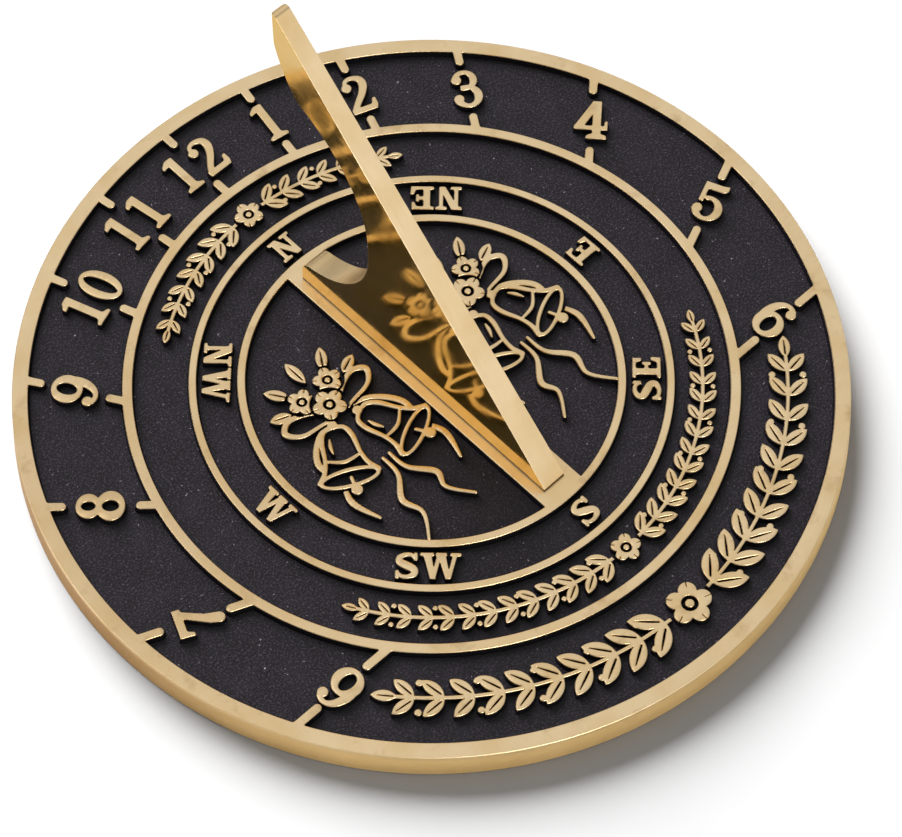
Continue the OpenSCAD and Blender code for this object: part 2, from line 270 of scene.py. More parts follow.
def place(painted, turn, x, y):
    return change(change(painted, rotate, turn), move, x, y)


# Numbers

def foot(half, stem):
    """A slab serif with sloping shoulders."""
    return [(-half, 0), (half, 0), (half, 0.8 * SLAB), (stem / 2, 1.35 * SLAB),
            (-stem / 2, 1.35 * SLAB), (-half, 0.8 * SLAB)]


def figure_one():
    flag = [(0, TALL), (-STEM / 2, TALL), (-2.7, TALL - 1.2), (-2.8, TALL - 2.3),
            (-STEM / 2, TALL - 1.9), (0, TALL - 1.9)]
    return [box(-STEM / 2, 0, STEM / 2, TALL), flag, foot(2.5, STEM)]


def figure_two():
    spine = [
        (-2.2, TALL - 2.9, 1.1), (-1.6, TALL - 1.2, 1.2), (0, TALL - 0.65, 1.3),
        (1.9, TALL - 1.6, 1.9), (2.2, TALL - 3.5, 2.15), (1.0, TALL - 5.9, 1.9),
        (-1.1, 3.0, 1.7), (-2.2, 1.4, 1.7),
    ]
    toe = [(1.9, 0), (3.1, 0), (3.6, 1.2), (3.6, 3.4), (2.7, 3.4), (2.0, 1.5)]
    return stroke(spine) + [disc(-1.95, TALL - 3.1, BALL), box(-3.2, 0, 2.9, 1.7), toe]


def figure_three():
    top_r, low_r = 3.05, 3.45
    return (
        bowl(0, TALL - top_r, 3.2, top_r, 1.9, HAIR, -88, 168)
        + bowl(0, low_r, 3.7, low_r, STEM, HAIR, -165, 88)
        + [
            disc(-1.95, TALL - top_r + 0.3, BALL),
            disc(-2.3, low_r - 0.5, BALL),
            box(-1.4, TALL - 2 * top_r, 0.4, 2 * low_r),
        ]
    )


def figure_four():
    bar_y = 2.7
    return [
        [(0.2, TALL), (2.4, TALL), (-1.6, bar_y + 1.2), (-4.2, bar_y + 0.9)],
        box(-4.2, bar_y, 4.1, bar_y + HAIR),
        [(3.0, bar_y), (4.1, bar_y), (4.1, bar_y + 2.8), (3.3, bar_y + 2.8)],
        box(0.3, 0, 0.3 + STEM, TALL),
        [(-1.2, 0), (3.9, 0), (3.9, 1.0), (2.6, 1.6), (0, 1.6), (-1.2, 1.0)],
    ]


def figure_five():
    low_r = 3.7
    return bowl(0, low_r, 3.8, low_r, STEM, HAIR, -165, 122) + [
        disc(-2.3, low_r - 0.6, BALL),
        box(-2.9, 5.2, -1.6, TALL - 0.3),
        [(-2.9, TALL - 2.2), (2.2, TALL - 2.2), (3.2, TALL - 1.3), (3.2, TALL + 0.2),
         (1.4, TALL - 0.2), (-2.9, TALL - 0.2)],
    ]


def figure_six():
    low_r = 3.75
    return (
        bowl(0, low_r, 3.8, low_r, 2.3, 1.35)
        + bowl(0.5, TALL / 2, 4.3, TALL / 2, 2.3, HAIR, 60, 190)
        + [disc(2.1, TALL - 2.1, BALL)]
    )


def figure_seven():
    bar_w = 2.2
    return [
        box(-3.6, TALL - bar_w, 3.8, TALL - 0.2),
        [(-3.8, TALL - 3.8), (-2.8, TALL - 3.8), (-2.2, TALL - bar_w), (-3.4, TALL)],
        [(3.8, TALL - 0.4), (1.0, TALL - bar_w), (-2.0, 3.6), (-2.5, 1.2), (0.2, 1.0), (0.8, 4.4)],
        disc(-1.15, 1.35, 1.35),
    ]


def figure_eight():
    top_r, low_r = 2.95, 3.4
    return (
        bowl(0, TALL - top_r, 3.25, top_r, 2.1, 1.35)
        + bowl(0, low_r, 3.9, low_r, 2.5, 1.5)
    )


def figure_nine():
    return [move(rotate(shape, 180), 0, TALL) for shape in figure_six()]


def figure_zero():
    return bowl(0, TALL / 2, 3.6, TALL / 2, STEM, HAIR)


def pair(left, right, left_x, right_x):
    return [move(s, left_x, 0) for s in left] + [move(s, right_x, 0) for s in right]


def hour_figures():
    """The number at each hour mark, by hours from noon."""
    one, six = figure_one(), figure_six()
    return {
        -6: six,
        -5: figure_seven(),
        -4: figure_eight(),
        -3: figure_nine(),
        -2: pair(one, figure_zero(), -4.2, 3.3),
        -1: pair(one, one, -3.95, 3.95),
        0: pair(one, figure_two(), -4.2, 3.6),
        1: one,
        2: figure_two(),
        3: figure_three(),
        4: figure_four(),
        5: figure_five(),
        6: six,
    }


# Compass letters

def letter_n():
    return [
        box(-2.35, 0, -2.35 + CAP_HAIR, CAP),
        box(2.35 - CAP_HAIR, 0, 2.35, CAP),
        [(-2.9, CAP), (-0.7, CAP), (2.35, 0), (0.8, 0), (-2.0, CAP - 1.2)],
        box(-3.2, 0, -0.4, CAP_SLAB),
        box(-3.2, CAP - CAP_SLAB, -1.2, CAP),
        box(0.4, CAP - CAP_SLAB, 3.2, CAP),
    ]


def letter_s():
    spine = [
        (2.0, 5.0, 0.8), (1.2, 6.0, 1.0), (-0.2, 6.15, 1.1), (-1.55, 5.4, 1.5),
        (-1.5, 4.3, 1.8), (0, 3.4, 2.0), (1.6, 2.5, 1.8), (1.7, 1.3, 1.6),
        (0.3, 0.55, 1.1), (-1.2, 0.7, 1.0), (-2.1, 1.7, 0.8),
    ]
    return stroke(spine) + [box(1.6, 4.6, 2.5, CAP), box(-2.6, 0, -1.7, 2.2)]


def letter_e():
    return [
        box(-2.0, 0, -2.0 + CAP_STEM, CAP),
        box(-2.9, 0, 2.6, CAP_SLAB),
        box(-2.9, CAP - CAP_SLAB, 2.4, CAP),
        box(-1.0, 2.9, 1.2, 3.85),
        [(1.4, CAP_SLAB), (2.7, 0), (2.9, 2.4), (2.0, 2.4)],
        [(1.3, CAP - CAP_SLAB), (1.8, 4.5), (2.6, 4.5), (2.5, CAP)],
        box(0.7, 2.3, 1.5, 4.4),
    ]


def letter_w():
    return [
        [(-4.1, CAP), (-2.2, CAP), (-1.1, 0), (-2.4, 0)],
        [(-2.2, 0), (-1.2, 0), (0.3, CAP), (-0.8, CAP)],
        [(-0.9, CAP), (1.0, CAP), (2.3, 0), (1.1, 0)],
        [(1.3, 0), (2.3, 0), (3.9, CAP), (2.8, CAP)],
        box(-4.7, CAP - CAP_SLAB, -1.5, CAP),
        box(-1.2, CAP - CAP_SLAB, 1.4, CAP),
        box(2.1, CAP - CAP_SLAB, 4.7, CAP),
    ]


def compass_letters():
    """The bearing and the shapes of each compass point's letters."""
    n, s, e, w = letter_n(), letter_s(), letter_e(), letter_w()
    return {
        "N": (0, n),
        "NE": (45, pair(n, e, -3.3, 3.1)),
        "E": (90, e),
        "SE": (135, pair(s, e, -3.1, 3.1)),
        "S": (180, s),
        "SW": (225, pair(s, w, -4.9, 2.8)),
        "W": (270, w),
        "NW": (315, pair(n, w, -5.0, 3.2)),
    }


# Ornament

def leaf(length, width):
    """A pointed leaf from the origin along +Y, with a bare vein."""
    r = (length**2 + width**2) / (4 * width)
    half = math.degrees(math.asin(length / 2 / r))
    edge = arc(width / 2 - r, length / 2, r, r, -half, half)
    blade = edge + mirror(edge)[-2:0:-1]
    vein = [(0, 0.16 * length, 0.1 * width), (0, 0.45 * length, 0.12 * width),
            (0, 0.8 * length, 0.04 * width)]
    return brass([blade]) + bare(stroke(vein, count=3))


def flower(radius):
    """Five creased petals about a button, on a cleared round."""
    painted = bare([disc(0, 0, radius + 0.5)])
    for k in range(5):
        petal = [disc(0, 0.6 * radius, 0.4 * radius)]
        crease = stroke([(0, 0.7 * radius, 0.1), (0, 1.02 * radius, 0.16)], count=2)
        painted += change(brass(petal) + bare(crease), rotate, 72 * k)
    return painted + bare([disc(0, 0, 0.36 * radius)]) + brass([disc(0, 0, 0.2 * radius)])


def around(painted, radius, bearing):
    """Lays shapes on a circle about the dial's centre, with their +Y pointing out."""
    return change(change(painted, move, 0, radius), rotate, -bearing)


def laurel(radius, way, first, reach, length, width, pitch):
    """Half of a garland at bearing 0: a stalk, pairs of leaves from the bearing first on, berries
    between them and one leaf at the end. It runs clockwise or, with way -1, anticlockwise."""
    halves = bowl(0, 0, radius + STALK_W / 2, radius + STALK_W / 2, STALK_W, STALK_W,
                  90 - way * reach, 90)
    painted = brass(halves)
    count = int(math.radians(reach - first) * radius / pitch)
    for k in range(count):
        bearing = way * (first + (reach - first) * (k + 0.3) / count)
        size = 1 - LEAF_TAPER * k / count
        for side in (-1, 1):
            one = place(leaf(length * size, width * size), way * (side * LEAF_SLANT - 90),
                        0, side * STALK_W / 4)
            painted += around(one, radius, bearing)
            if k % 2:
                berry = [disc(0, side * 0.42 * length, 0.16 * width + 0.2)]
                painted += around(brass(berry), radius, bearing - way * 0.1 * pitch)
    tip = change(leaf(length * (1 - LEAF_TAPER), width * (1 - LEAF_TAPER)), rotate, -90 * way)
    return painted + around(tip, radius, way * (reach - math.degrees(STALK_W / radius)))


def garland(radius, middle, reach, length, width, pitch, bloom):
    """Two laurel branches that run apart from a flower."""
    first = math.degrees(bloom / radius)
    painted = []
    for way in (-1, 1):
        painted += laurel(radius, way, first, reach, length, width, pitch)
    return change(painted + around(flower(bloom), radius, 0), rotate, -middle)


def bell():
    """A bell that hangs from the origin, with its lip, bands, shine and clapper."""
    height, mouth = 14.0, 6.9
    side = [(0, 0, 1.0), (2.4, -0.7, 1.2), (3.7, -3.4, 1.3), (4.2, -8.0, 1.1),
            (5.2, -11.2, 1.2), (mouth, -height + 0.4, 1.5)]
    left = [(-x, y, w) for x, y, w in side]
    body = [(x, y) for x, y, _ in side] + [(x, y) for x, y, _ in reversed(left)]
    band = [(-4.1, -8.4, 0.7), (0, -9.6, 1.0), (4.1, -8.4, 0.7)]
    shine = [(-1.7, -3.0, 0.5), (-2.0, -4.8, 1.0), (-1.9, -6.8, 0.5)]
    clapper = [(0.3, -height, 0.9), (0.6, -height - 2.9, 1.0)]
    return (
        bare([body, disc(0, -height, mouth + 1.0, 3.2)])
        + brass(stroke(side) + stroke(left) + stroke(band) + stroke(shine))
        + brass(bowl(0, -height, mouth + 0.4, 2.6, 1.1, 1.0))
        + brass(stroke(clapper, count=2) + [disc(0.7, -height - 3.4, 1.4)])
        + brass([disc(0, 0.5, 1.2)])
    )


def ribbon(points):
    """A ribbon that clears its way over what lies under it."""
    return bare(stroke(points, wider=0.55)) + brass(stroke(points))


def bell_group():
    """Two bells under a bow and three flowers, with ribbon tails, about the group's middle."""
    knot_y = 8.0
    painted = []
    for side, droop in ((-1, 0.0), (1, 1.2)):
        tail = [
            (side * 1.5, knot_y, 0.8), (side * 8.0, knot_y - 1.5, 1.3),
            (side * 12.8, 1.5 - droop, 1.6), (side * 12.4, -5.5 - droop, 1.0),
            (side * 14.1, -11.5 - droop, 1.6), (side * 12.2, -18.4 - droop, 0.8),
        ]
        inner = [
            (side * 1.0, -7.5, 0.8), (side * 1.4, -13.0, 1.2), (side * 5.4, -18.6, 1.6),
            (side * 4.2, -24.2 + droop, 1.1), (side * 8.0, -30.0 + droop, 0.8),
        ]
        loop = [
            (side * 0.8, knot_y, 0.8), (side * 4.6, knot_y + 4.4, 1.1),
            (side * 9.8, knot_y + 6.6, 1.4), (side * 12.8, knot_y + 4.6, 1.6),
            (side * 10.3, knot_y + 1.5, 1.2), (side * 4.8, knot_y + 0.5, 0.9),
            (side * 0.8, knot_y - 0.4, 0.8),
        ]
        painted += ribbon(tail) + ribbon(inner) + ribbon(loop)
    painted += place(bell(), -27, -3.6, knot_y - 1.6)
    painted += place(bell(), 24, 3.8, knot_y - 2.6)
    for x, y, turn, length in ((0, 19.4, 0, 7.4), (-5.4, 19.0, 34, 6.4), (5.4, 19.2, -34, 6.4),
                               (-8.2, 15.4, 68, 5.4), (8.2, 15.6, -68, 5.4)):
        painted += place(leaf(length, 2.9), turn, x, y)
    painted += place(flower(3.5), 20, -4.2, 16.3)
    painted += place(flower(3.5), -20, 4.2, 16.6)
    return painted + place(flower(4.1), 0, 0, 11.4)


# From painted shapes to relief

def area(loop):
    return sum(a[0] * b[1] - b[0] * a[1] for a, b in zip(loop, loop[1:] + loop[:1])) / 2


def chained(edges, spots):
    """Closed loops of directed edges, which turn as sharply as they can where loops touch."""
    leaving = {}
    for a, b in edges:
        leaving.setdefault(a, []).append(b)

    def heading(a, b):
        return math.atan2(spots[b].y - spots[a].y, spots[b].x - spots[a].x)

    def onward(a, b):
        back = heading(b, a)
        return b, min(leaving[b], key=lambda c: (back - heading(b, c)) % math.tau or math.tau)

    unused = dict.fromkeys(edges)
    loops = []
    while unused:
        edge = next(iter(unused))
        loop = []
        while edge in unused:
            del unused[edge]
            loop.append(edge[0])
            edge = onward(*edge)
        loops.append(loop)
    return loops


def outline(painted):
    """The loops around the brass: outer ones run anticlockwise and holes clockwise."""
    shapes = [(shape if area(shape) > 0 else shape[::-1], is_brass)
              for shape, is_brass in painted if abs(area(shape)) > LEAST_SHAPE]
    points, edges = [], []
    for shape, _ in shapes:
        run = list(range(len(points), len(points) + len(shape)))
        edges += zip(run, run[1:] + run[:1])
        points += [Vector(p) for p in shape]
    spots, _, pieces, _, _, _ = delaunay_2d_cdt(points, edges, [], 0, SHAPE_WELD)
    triangles = laid_out(pieces, spots)
    middles = triangles.mean(axis=1)
    solid = np.zeros(len(pieces), dtype=bool)
    for shape, is_brass in shapes:
        flat = np.array(shape)
        near = ((middles > flat.min(axis=0)) & (middles < flat.max(axis=0))).all(axis=1)
        within = np.flatnonzero(near)
        solid[within[wound(middles[within], flat, np.roll(flat, -1, axis=0))]] = is_brass
    (ax, ay), (bx, by) = (triangles[:, k].T - triangles[:, 0].T for k in (1, 2))
    solid &= abs(ax * by - ay * bx) > SLIVER
    kept = [piece for piece, is_brass in zip(pieces, solid) if is_brass]
    sides = [(a, b) for piece in kept for a, b in zip(piece, piece[1:] + piece[:1])]
    inner = set(sides)
    loops = chained([(a, b) for a, b in sides if (b, a) not in inner], spots)
    tidy = [softened(spaced([tuple(spots[i]) for i in loop])) for loop in loops]
    return [loop for loop in tidy if len(loop) > 3 and abs(area(loop)) > LEAST_AREA]


def spaced(loop):
    """The loop without points that crowd together."""
    kept = [loop[0]]
    for p in loop[1:]:
        if math.dist(p, kept[-1]) >= LEAST_EDGE:
            kept.append(p)
    if math.dist(kept[0], kept[-1]) < LEAST_EDGE and len(kept) > 1:
        kept.pop()
    return kept


def softened(loop):
    """The loop with its corners rounded, as a casting's are."""
    soft = []
    for i, corner in enumerate(loop):
        here = Vector(corner)
        back = Vector(loop[i - 1]) - here
        ahead = Vector(loop[(i + 1) % len(loop)]) - here
        if (not back.length or not ahead.length
                or back.angle(-ahead) < math.radians(CORNER_ANGLE)):
            soft.append(corner)
            continue
        start = here + back * min(CORNER_R / back.length, CORNER_SHARE)
        end = here + ahead * min(CORNER_R / ahead.length, CORNER_SHARE)
        middle = (start + 2 * here + end) / 4
        soft += [tuple(start), tuple(middle), tuple(end)]
    return soft


def offset(loop, distance):
    """The loop moved away from the solid that it bounds, with short mitres."""
    moved = []
    for i, (x, y) in enumerate(loop):
        before, after = loop[i - 1], loop[(i + 1) % len(loop)]
        u = Vector((x - before[0], y - before[1])).normalized()
        v = Vector((after[0] - x, after[1] - y)).normalized()
        normal = Vector((u.y + v.y, -u.x - v.x))
        normal = normal.normalized() if normal.length > 1e-4 else Vector((u.y, -u.x))
        mitre = 1 / max(normal.dot(Vector((u.y, -u.x))), LEAST_MITRE)
        moved.append((x + normal.x * distance * mitre, y + normal.y * distance * mitre))
    return moved


def quarter_turn():
    """The angles at the steps of a rounded edge."""
    return [math.pi / 2 * k / ARRIS_STEPS for k in range(ARRIS_STEPS + 1)]


def arris_levels():
    """Offset and height at each step over a rounded arris."""
    return [(-ARRIS_IN * (1 - math.cos(t)), FACE_Z - ARRIS * (1 - math.sin(t)))
            for t in quarter_turn()]


def wall_levels():
    return [(WALL_LEAN, FLOOR_Z)] + arris_levels()


def side_levels():
    """The dial's outer side, up from its rounded lower edge."""
    foot_levels = [(SIDE_LEAN - BASE_BEVEL * (1 - math.sin(t)), BASE_BEVEL * (1 - math.cos(t)))
                   for t in quarter_turn()]
    return foot_levels + arris_levels()


def screw_hole_levels():
    """A countersink at the underside, and the hole above it up to the bar's face."""
    step = HEAD_R + HEAD_GAP - SCREW_HOLE_R
    return [(-step, 0), (-step, HEAD_SINK), (0, HEAD_SINK + step), (0, FACE_Z)]


def add_wall(mesh, loop, levels):
    """Faces along a loop from level to level. Gives the lowest and the highest ring."""
    rings = [
        [mesh.verts.new((x * MM, y * MM, z * MM)) for x, y in offset(loop, distance)]
        for distance, z in levels
    ]
    for low, high in zip(rings, rings[1:]):
        for i in range(len(loop)):
            j = (i + 1) % len(loop)
            mesh.faces.new((low[i], low[j], high[j], high[i]))
    return rings[0], rings[-1]


def laid_out(pieces, spots):
    """The corners of each triangle."""
    return np.array([tuple(p) for p in spots])[np.array(pieces)]


def wound(spots, starts, ends):
    """Whether each spot lies in brass, by how often the directed edges wind around it."""
    (x0, y0), (x1, y1) = starts.T, ends.T
    found = [np.zeros(0, dtype=bool)]
    for part in np.array_split(spots, len(spots) // BATCH + 1):
        x, y = part[:, :1], part[:, 1:]
        side = (x1 - x0) * (y - y0) - (x - x0) * (y1 - y0)
        up = (y0 <= y) & (y1 > y) & (side > 0)
        down = (y0 > y) & (y1 <= y) & (side < 0)
        found.append(up.sum(axis=1) > down.sum(axis=1))
    return np.concatenate(found)


def cap(mesh, rings, facing=1):
    """Closes the level face inside rings, facing up or, with facing -1, down."""
    corners_of, edges = [], []
    for ring in rings:
        run = list(range(len(corners_of), len(corners_of) + len(ring)))
        edges += zip(run, run[1:] + run[:1])
        corners_of += ring
    z = corners_of[0].co.z
    points = [Vector((v.co.x / MM, v.co.y / MM)) for v in corners_of]
    spots, _, pieces, sources, _, _ = delaunay_2d_cdt(points, edges, [], 0, CAP_WELD)
    flat = np.array([tuple(p) for p in points])
    starts, ends = flat[[a for a, _ in edges]], flat[[b for _, b in edges]]
    middles = laid_out(pieces, spots).mean(axis=1)
    made = {}
    for piece, is_brass in zip(pieces, wound(middles, starts, ends)):
        if not is_brass:
            continue
        for i in piece:
            if i not in made:
                x, y = spots[i]
                made[i] = corners_of[sources[i][0]] if sources[i] else mesh.verts.new(
                    (x * MM, y * MM, z))
        picked = [made[i] for i in piece[::facing]]
        if len(set(picked)) == 3 and not mesh.faces.get(picked):
            mesh.faces.new(picked)


def finished(mesh, name):
    """The mesh as named data that shades softly between its creases."""
    data = bpy.data.meshes.new(name)
    mesh.to_mesh(data)
    mesh.free()
    for face in data.polygons:
        face.use_smooth = True
    data.set_sharp_from_angle(angle=math.radians(CAST_CREASE))
    return data


def relief_mesh(name, loops):
    """A raised form with leaning walls and rounded arrises, which stands on the plate's floor."""
    mesh = bmesh.new()
    cap(mesh, [add_wall(mesh, loop, wall_levels())[1] for loop in loops])
    return finished(mesh, name)


def casting_mesh(name, loops):
    """The whole plate: its side, its raised rings, bar and marks, its floor and its underside."""
    mesh = bmesh.new()
    side = max(loops, key=area)
    foot_ring, rim_ring = add_wall(mesh, side, side_levels())
    walls = [add_wall(mesh, loop, wall_levels()) for loop in loops if loop is not side]
    holes = [add_wall(mesh, disc(0, y, SCREW_HOLE_R)[::-1], screw_hole_levels())
             for y in SCREW_YS]
    cap(mesh, [rim_ring] + [high for _, high in walls + holes])
    cap(mesh, [low[::-1] for low, _ in walls])
    cap(mesh, [foot_ring] + [low for low, _ in holes], -1)
    return finished(mesh, name)


def add_object(name, data, *materials):
    piece = bpy.data.objects.new(name, data)
    bpy.context.scene.collection.objects.link(piece)
    for material in materials:
        data.materials.append(material)
    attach(piece, BODY)
    return piece


def flatten_shading(piece):
    """Leaves large faces flat and lets the small ones beside them shade softly."""
    shading = piece.modifiers.new("shading", "WEIGHTED_NORMAL")
    shading.weight = FACE_WEIGHT
    shading.keep_sharp = True


def add_cast(name, data, material):
    """A piece of the plate's casting, shaded flat on its faces and soft over its arrises."""
    piece = add_object(name, data, material)
    flatten_shading(piece)
    return piece


def add_relief(name, painted, material):
    return add_cast(name, relief_mesh(name, outline(painted)), material)


# Materials

class Surface:
    """A procedural material in the object's own coordinates."""

    def __init__(self, name, **values):
        self.material = bpy.data.materials.new(name)
        self.material.use_nodes = True
        self.tree = self.material.node_tree
        self.shader = self.tree.nodes["Principled BSDF"]
        for name_of, value in values.items():
            self.set(name_of.replace("_", " "), value)
        self.spot = self.add("ShaderNodeTexCoord").outputs["Object"]

    def set(self, socket, value):
        self.put(self.shader.inputs[socket], value)

    def put(self, socket, value):
        if isinstance(value, bpy.types.NodeSocket):
            self.tree.links.new(value, socket)
        else:
            socket.default_value = value

    def add(self, kind, sockets=None, **settings):
        node = self.tree.nodes.new(kind)
        for key, value in settings.items():
            setattr(node, key, value)
        for key, value in (sockets or {}).items():
            self.put(node.inputs[key], value)
        return node

    def stretched(self, x, y, z):
        node = self.add("ShaderNodeMapping", {"Vector": self.spot, "Scale": (x, y, z)})
        return node.outputs["Vector"]

    def noise(self, grain_mm, detail=3.0, rough=0.5, spot=None):
        """Noise with lumps about grain_mm across."""
        return self.add("ShaderNodeTexNoise", {
            "Vector": spot or self.spot,
            "Scale": 1 / (grain_mm * MM),
            "Detail": detail,
            "Roughness": rough,
        }).outputs["Fac"]

    def ramp(self, value, low, high, low_to=0.0, high_to=1.0):
        return self.add("ShaderNodeMapRange", {
            "Value": value, "From Min": low, "From Max": high,
            "To Min": low_to, "To Max": high_to,
        }, clamp=True).outputs["Result"]

    def math(self, operation, *values):
        node = self.add("ShaderNodeMath", dict(enumerate(values)), operation=operation)
        return node.outputs[0]

    def mix(self, share, a, b):
        node = self.add("ShaderNodeMix", data_type="RGBA")
        for socket, value in ((0, share), (6, a), (7, b)):
            self.put(node.inputs[socket], value)
        return node.outputs[2]

    def height(self):
        return self.add("ShaderNodeSeparateXYZ", {"Vector": self.spot}).outputs["Z"]

    def distance(self, point):
        """Distance from a point given in millimetres."""
        return self.add("ShaderNodeVectorMath", {0: self.spot, 1: [v * MM for v in point]},
                        operation="DISTANCE").outputs["Value"]

    def radius(self):
        """Distance from the dial's axis."""
        flat = self.add("ShaderNodeVectorMath", {0: self.spot, 1: (1, 1, 0)},
                        operation="MULTIPLY").outputs[0]
        return self.add("ShaderNodeVectorMath", {0: flat}, operation="LENGTH").outputs["Value"]

    def bump(self, height, depth_mm, strength=1.0):
        node = self.add("ShaderNodeBump", {
            "Height": height, "Distance": depth_mm * MM, "Strength": strength,
        })
        self.set("Normal", node.outputs["Normal"])


GOLD_PALE = (0.90, 0.69, 0.41, 1)
GOLD_DEEP = (0.80, 0.57, 0.28, 1)
GOLD_CAST = (0.95, 0.67, 0.28, 1)
GOLD_BROWN = (0.42, 0.24, 0.09, 1)
GOLD_MIRROR = (0.62, 0.37, 0.06, 1)
GOLD_SIDE = (0.62, 0.41, 0.13, 1)
PAINT_BLACK = (0.0023, 0.0018, 0.0025, 1)
PAINT_VIOLET = (0.0035, 0.0028, 0.004, 1)
PAINT_GREY = (0.0123, 0.0105, 0.0128, 1)
PAINT_SPECK = (0.08, 0.072, 0.08, 1)
SEAM_BROWN = (0.05, 0.022, 0.006, 1)

# The casting's outer side: its share of GOLD_CAST, and how much rougher it is than the faces
SIDE_TINT = 0.75
SIDE_ROUGHER = 0.26

# Tarnish in the west, which is partly real patina and partly painted shade: its middle, how far
# from there it is full and has faded out, how strong it is on the side, and what share of that the
# faces show
TARNISH_SHADE_AT = (-92, 18, 6)
TARNISH_SHADE_FULL = 20
TARNISH_SHADE_END = 75
TARNISH_SHADE_MOST = 0.95
TARNISH_SHADE_ON_FACES = 0.25

# How far the edge of the paint on the walls wanders up and down
PAINT_RAGGED = 0.06


def brass_colour(surface, patina):
    """Satin gold that wanders between pale and deep, with brown patina in patches."""
    wander = surface.ramp(surface.noise(12, 4), 0.4, 0.75)
    gold = surface.mix(wander, GOLD_PALE, GOLD_DEEP)
    blotch = surface.ramp(surface.noise(8, 6, 0.62), 0.56, 0.76, 0, patina)
    return surface.mix(blotch, gold, GOLD_BROWN)


def cast_relief():
    """Linished brass faces over walls that are painted black, and bare brass at the outer side
    and below. Tarnish covers the side in the west, and a little of the faces beside it. It is laid
    on darker there as painted shade."""
    surface = Surface("cast_brass_relief", Specular_IOR_Level=0.3)
    ragged = surface.ramp(surface.noise(0.8, 3), 0.3, 0.7, -PAINT_RAGGED * MM,
                          PAINT_RAGGED * MM)
    edge = surface.math("ADD", surface.height(), ragged)
    above = surface.ramp(edge, (FACE_Z - ARRIS) * MM, (FACE_Z - ARRIS * 0.6) * MM)
    outside = surface.ramp(surface.radius(), (RIM_IN + 0.5) * MM, (RIM_IN + 0.7) * MM)
    below = surface.math("LESS_THAN", surface.height(), (FLOOR_Z - 0.5) * MM)
    bare_metal = surface.math("MAXIMUM", above, surface.math("MAXIMUM", outside, below))
    side = surface.ramp(surface.radius(), (RIM_OUT - 0.1) * MM, (RIM_OUT + 0.1) * MM)
    gold = surface.mix(surface.math("MULTIPLY", side, SIDE_TINT), brass_colour(surface, 0.55),
                       GOLD_CAST)
    # Tarnish and painted shade: browner on the west side, and a little on the faces beside it
    tarnish_shade_patch = surface.ramp(surface.distance(TARNISH_SHADE_AT), TARNISH_SHADE_FULL * MM, TARNISH_SHADE_END * MM,
                         TARNISH_SHADE_MOST, 0)
    share = surface.ramp(side, 0, 1, TARNISH_SHADE_ON_FACES, 1)
    tarnish_and_shade = surface.math("MULTIPLY", tarnish_shade_patch, share)
    gold = surface.mix(tarnish_and_shade, gold, GOLD_BROWN)
    surface.set("Base Color", surface.mix(bare_metal, PAINT_BLACK, gold))
    brushed = surface.noise(1, 3, 0.6, surface.stretched(0.12, 1.2, 1))
    satin = surface.ramp(brushed, 0.3, 0.75, 0.3, 0.42)
    surface.set("Roughness", surface.math("MULTIPLY_ADD", side, SIDE_ROUGHER, satin))
    surface.set("Metallic", bare_metal)
    surface.bump(surface.noise(0.5, 4), 0.03, 0.5)
    return surface.material


def seamed(surface, colour):
    """The colour, dark brown along the gnomon's foot where it meets the bar."""
    ragged = surface.ramp(surface.noise(2.5, 3), 0.3, 0.7, -0.1 * MM, 0.15 * MM)
    height = surface.math("ADD", surface.height(), ragged)
    clean = surface.ramp(height, (FACE_Z + 0.5) * MM, (FACE_Z + 0.8) * MM)
    return surface.mix(clean, SEAM_BROWN, colour)


def satin_brass():
    """The gnomon's upper face and hollow: finely linished along their length."""
    surface = Surface("satin_brass", Metallic=1.0)
    surface.set("Base Color", seamed(surface, brass_colour(surface, 0.15)))
    lines = surface.noise(0.8, 4, 0.6, surface.stretched(1.6, 0.06, 0.06))
    surface.set("Roughness", surface.ramp(lines, 0.3, 0.75, 0.28, 0.44))
    surface.bump(lines, 0.02, 0.5)
    return surface.material


def mirror_brass():
    """The gnomon's sides: polished, with a faint ripple left by the wheel."""
    surface = Surface("mirror_brass", Metallic=0.95)
    wander = surface.ramp(surface.noise(22, 3), 0.35, 0.7)
    colour = surface.mix(wander, GOLD_MIRROR, GOLD_SIDE)
    surface.set("Base Color", seamed(surface, colour))
    surface.set("Roughness", surface.ramp(surface.noise(5, 4), 0.35, 0.75, 0.05, 0.15))
    surface.bump(surface.noise(16, 2), 0.05, 0.25)
    return surface.material


def black_enamel():
    """Satin black paint over a sand-cast floor, with worn grains and a few pale specks."""
    surface = Surface("black_enamel", Metallic=0.0, Specular_IOR_Level=0.22)
    grain = surface.noise(0.5, 5, 0.65)
    worn = surface.ramp(grain, 0.5, 0.66)
    specks = surface.ramp(surface.noise(0.9, 3, 0.6), 0.69, 0.77)
    tint = surface.mix(surface.ramp(surface.noise(6, 4), 0.4, 0.7), PAINT_BLACK, PAINT_VIOLET)
    grained = surface.mix(worn, tint, PAINT_GREY)
    surface.set("Base Color", surface.mix(specks, grained, PAINT_SPECK))
    surface.set("Roughness", surface.ramp(grain, 0.3, 0.7, 0.4, 0.62))
    surface.bump(grain, 0.16, 1.0)
    return surface.material


def screw_brass():
    """Turned brass screw heads, a little dull."""
    surface = Surface("screw_brass", Metallic=1.0)
    surface.set("Base Color", brass_colour(surface, 0.6))
    turned = surface.noise(0.25, 3)
    surface.set("Roughness", surface.ramp(turned, 0.3, 0.7, 0.3, 0.5))
    surface.bump(turned, 0.02, 0.4)
    return surface.material


def pale_floor():
    surface = Surface("pale_floor", Roughness=0.9, Specular_IOR_Level=0.1)
    tone = surface.ramp(surface.noise(60, 2), 0.3, 0.7)
    surface.set("Base Color", surface.mix(tone, *((v, v, v, 1) for v in FLOOR_TONES)))
    return surface.material


# The object

def bearing(hour):
    """Bearing of an hour line, in degrees east of north."""
    sun = math.radians(360 / 24 * (hour + TIME_SHIFT_H))
    lean = math.sin(math.radians(LATITUDE))
    return math.degrees(math.atan2(lean * math.sin(sun), math.cos(sun)))


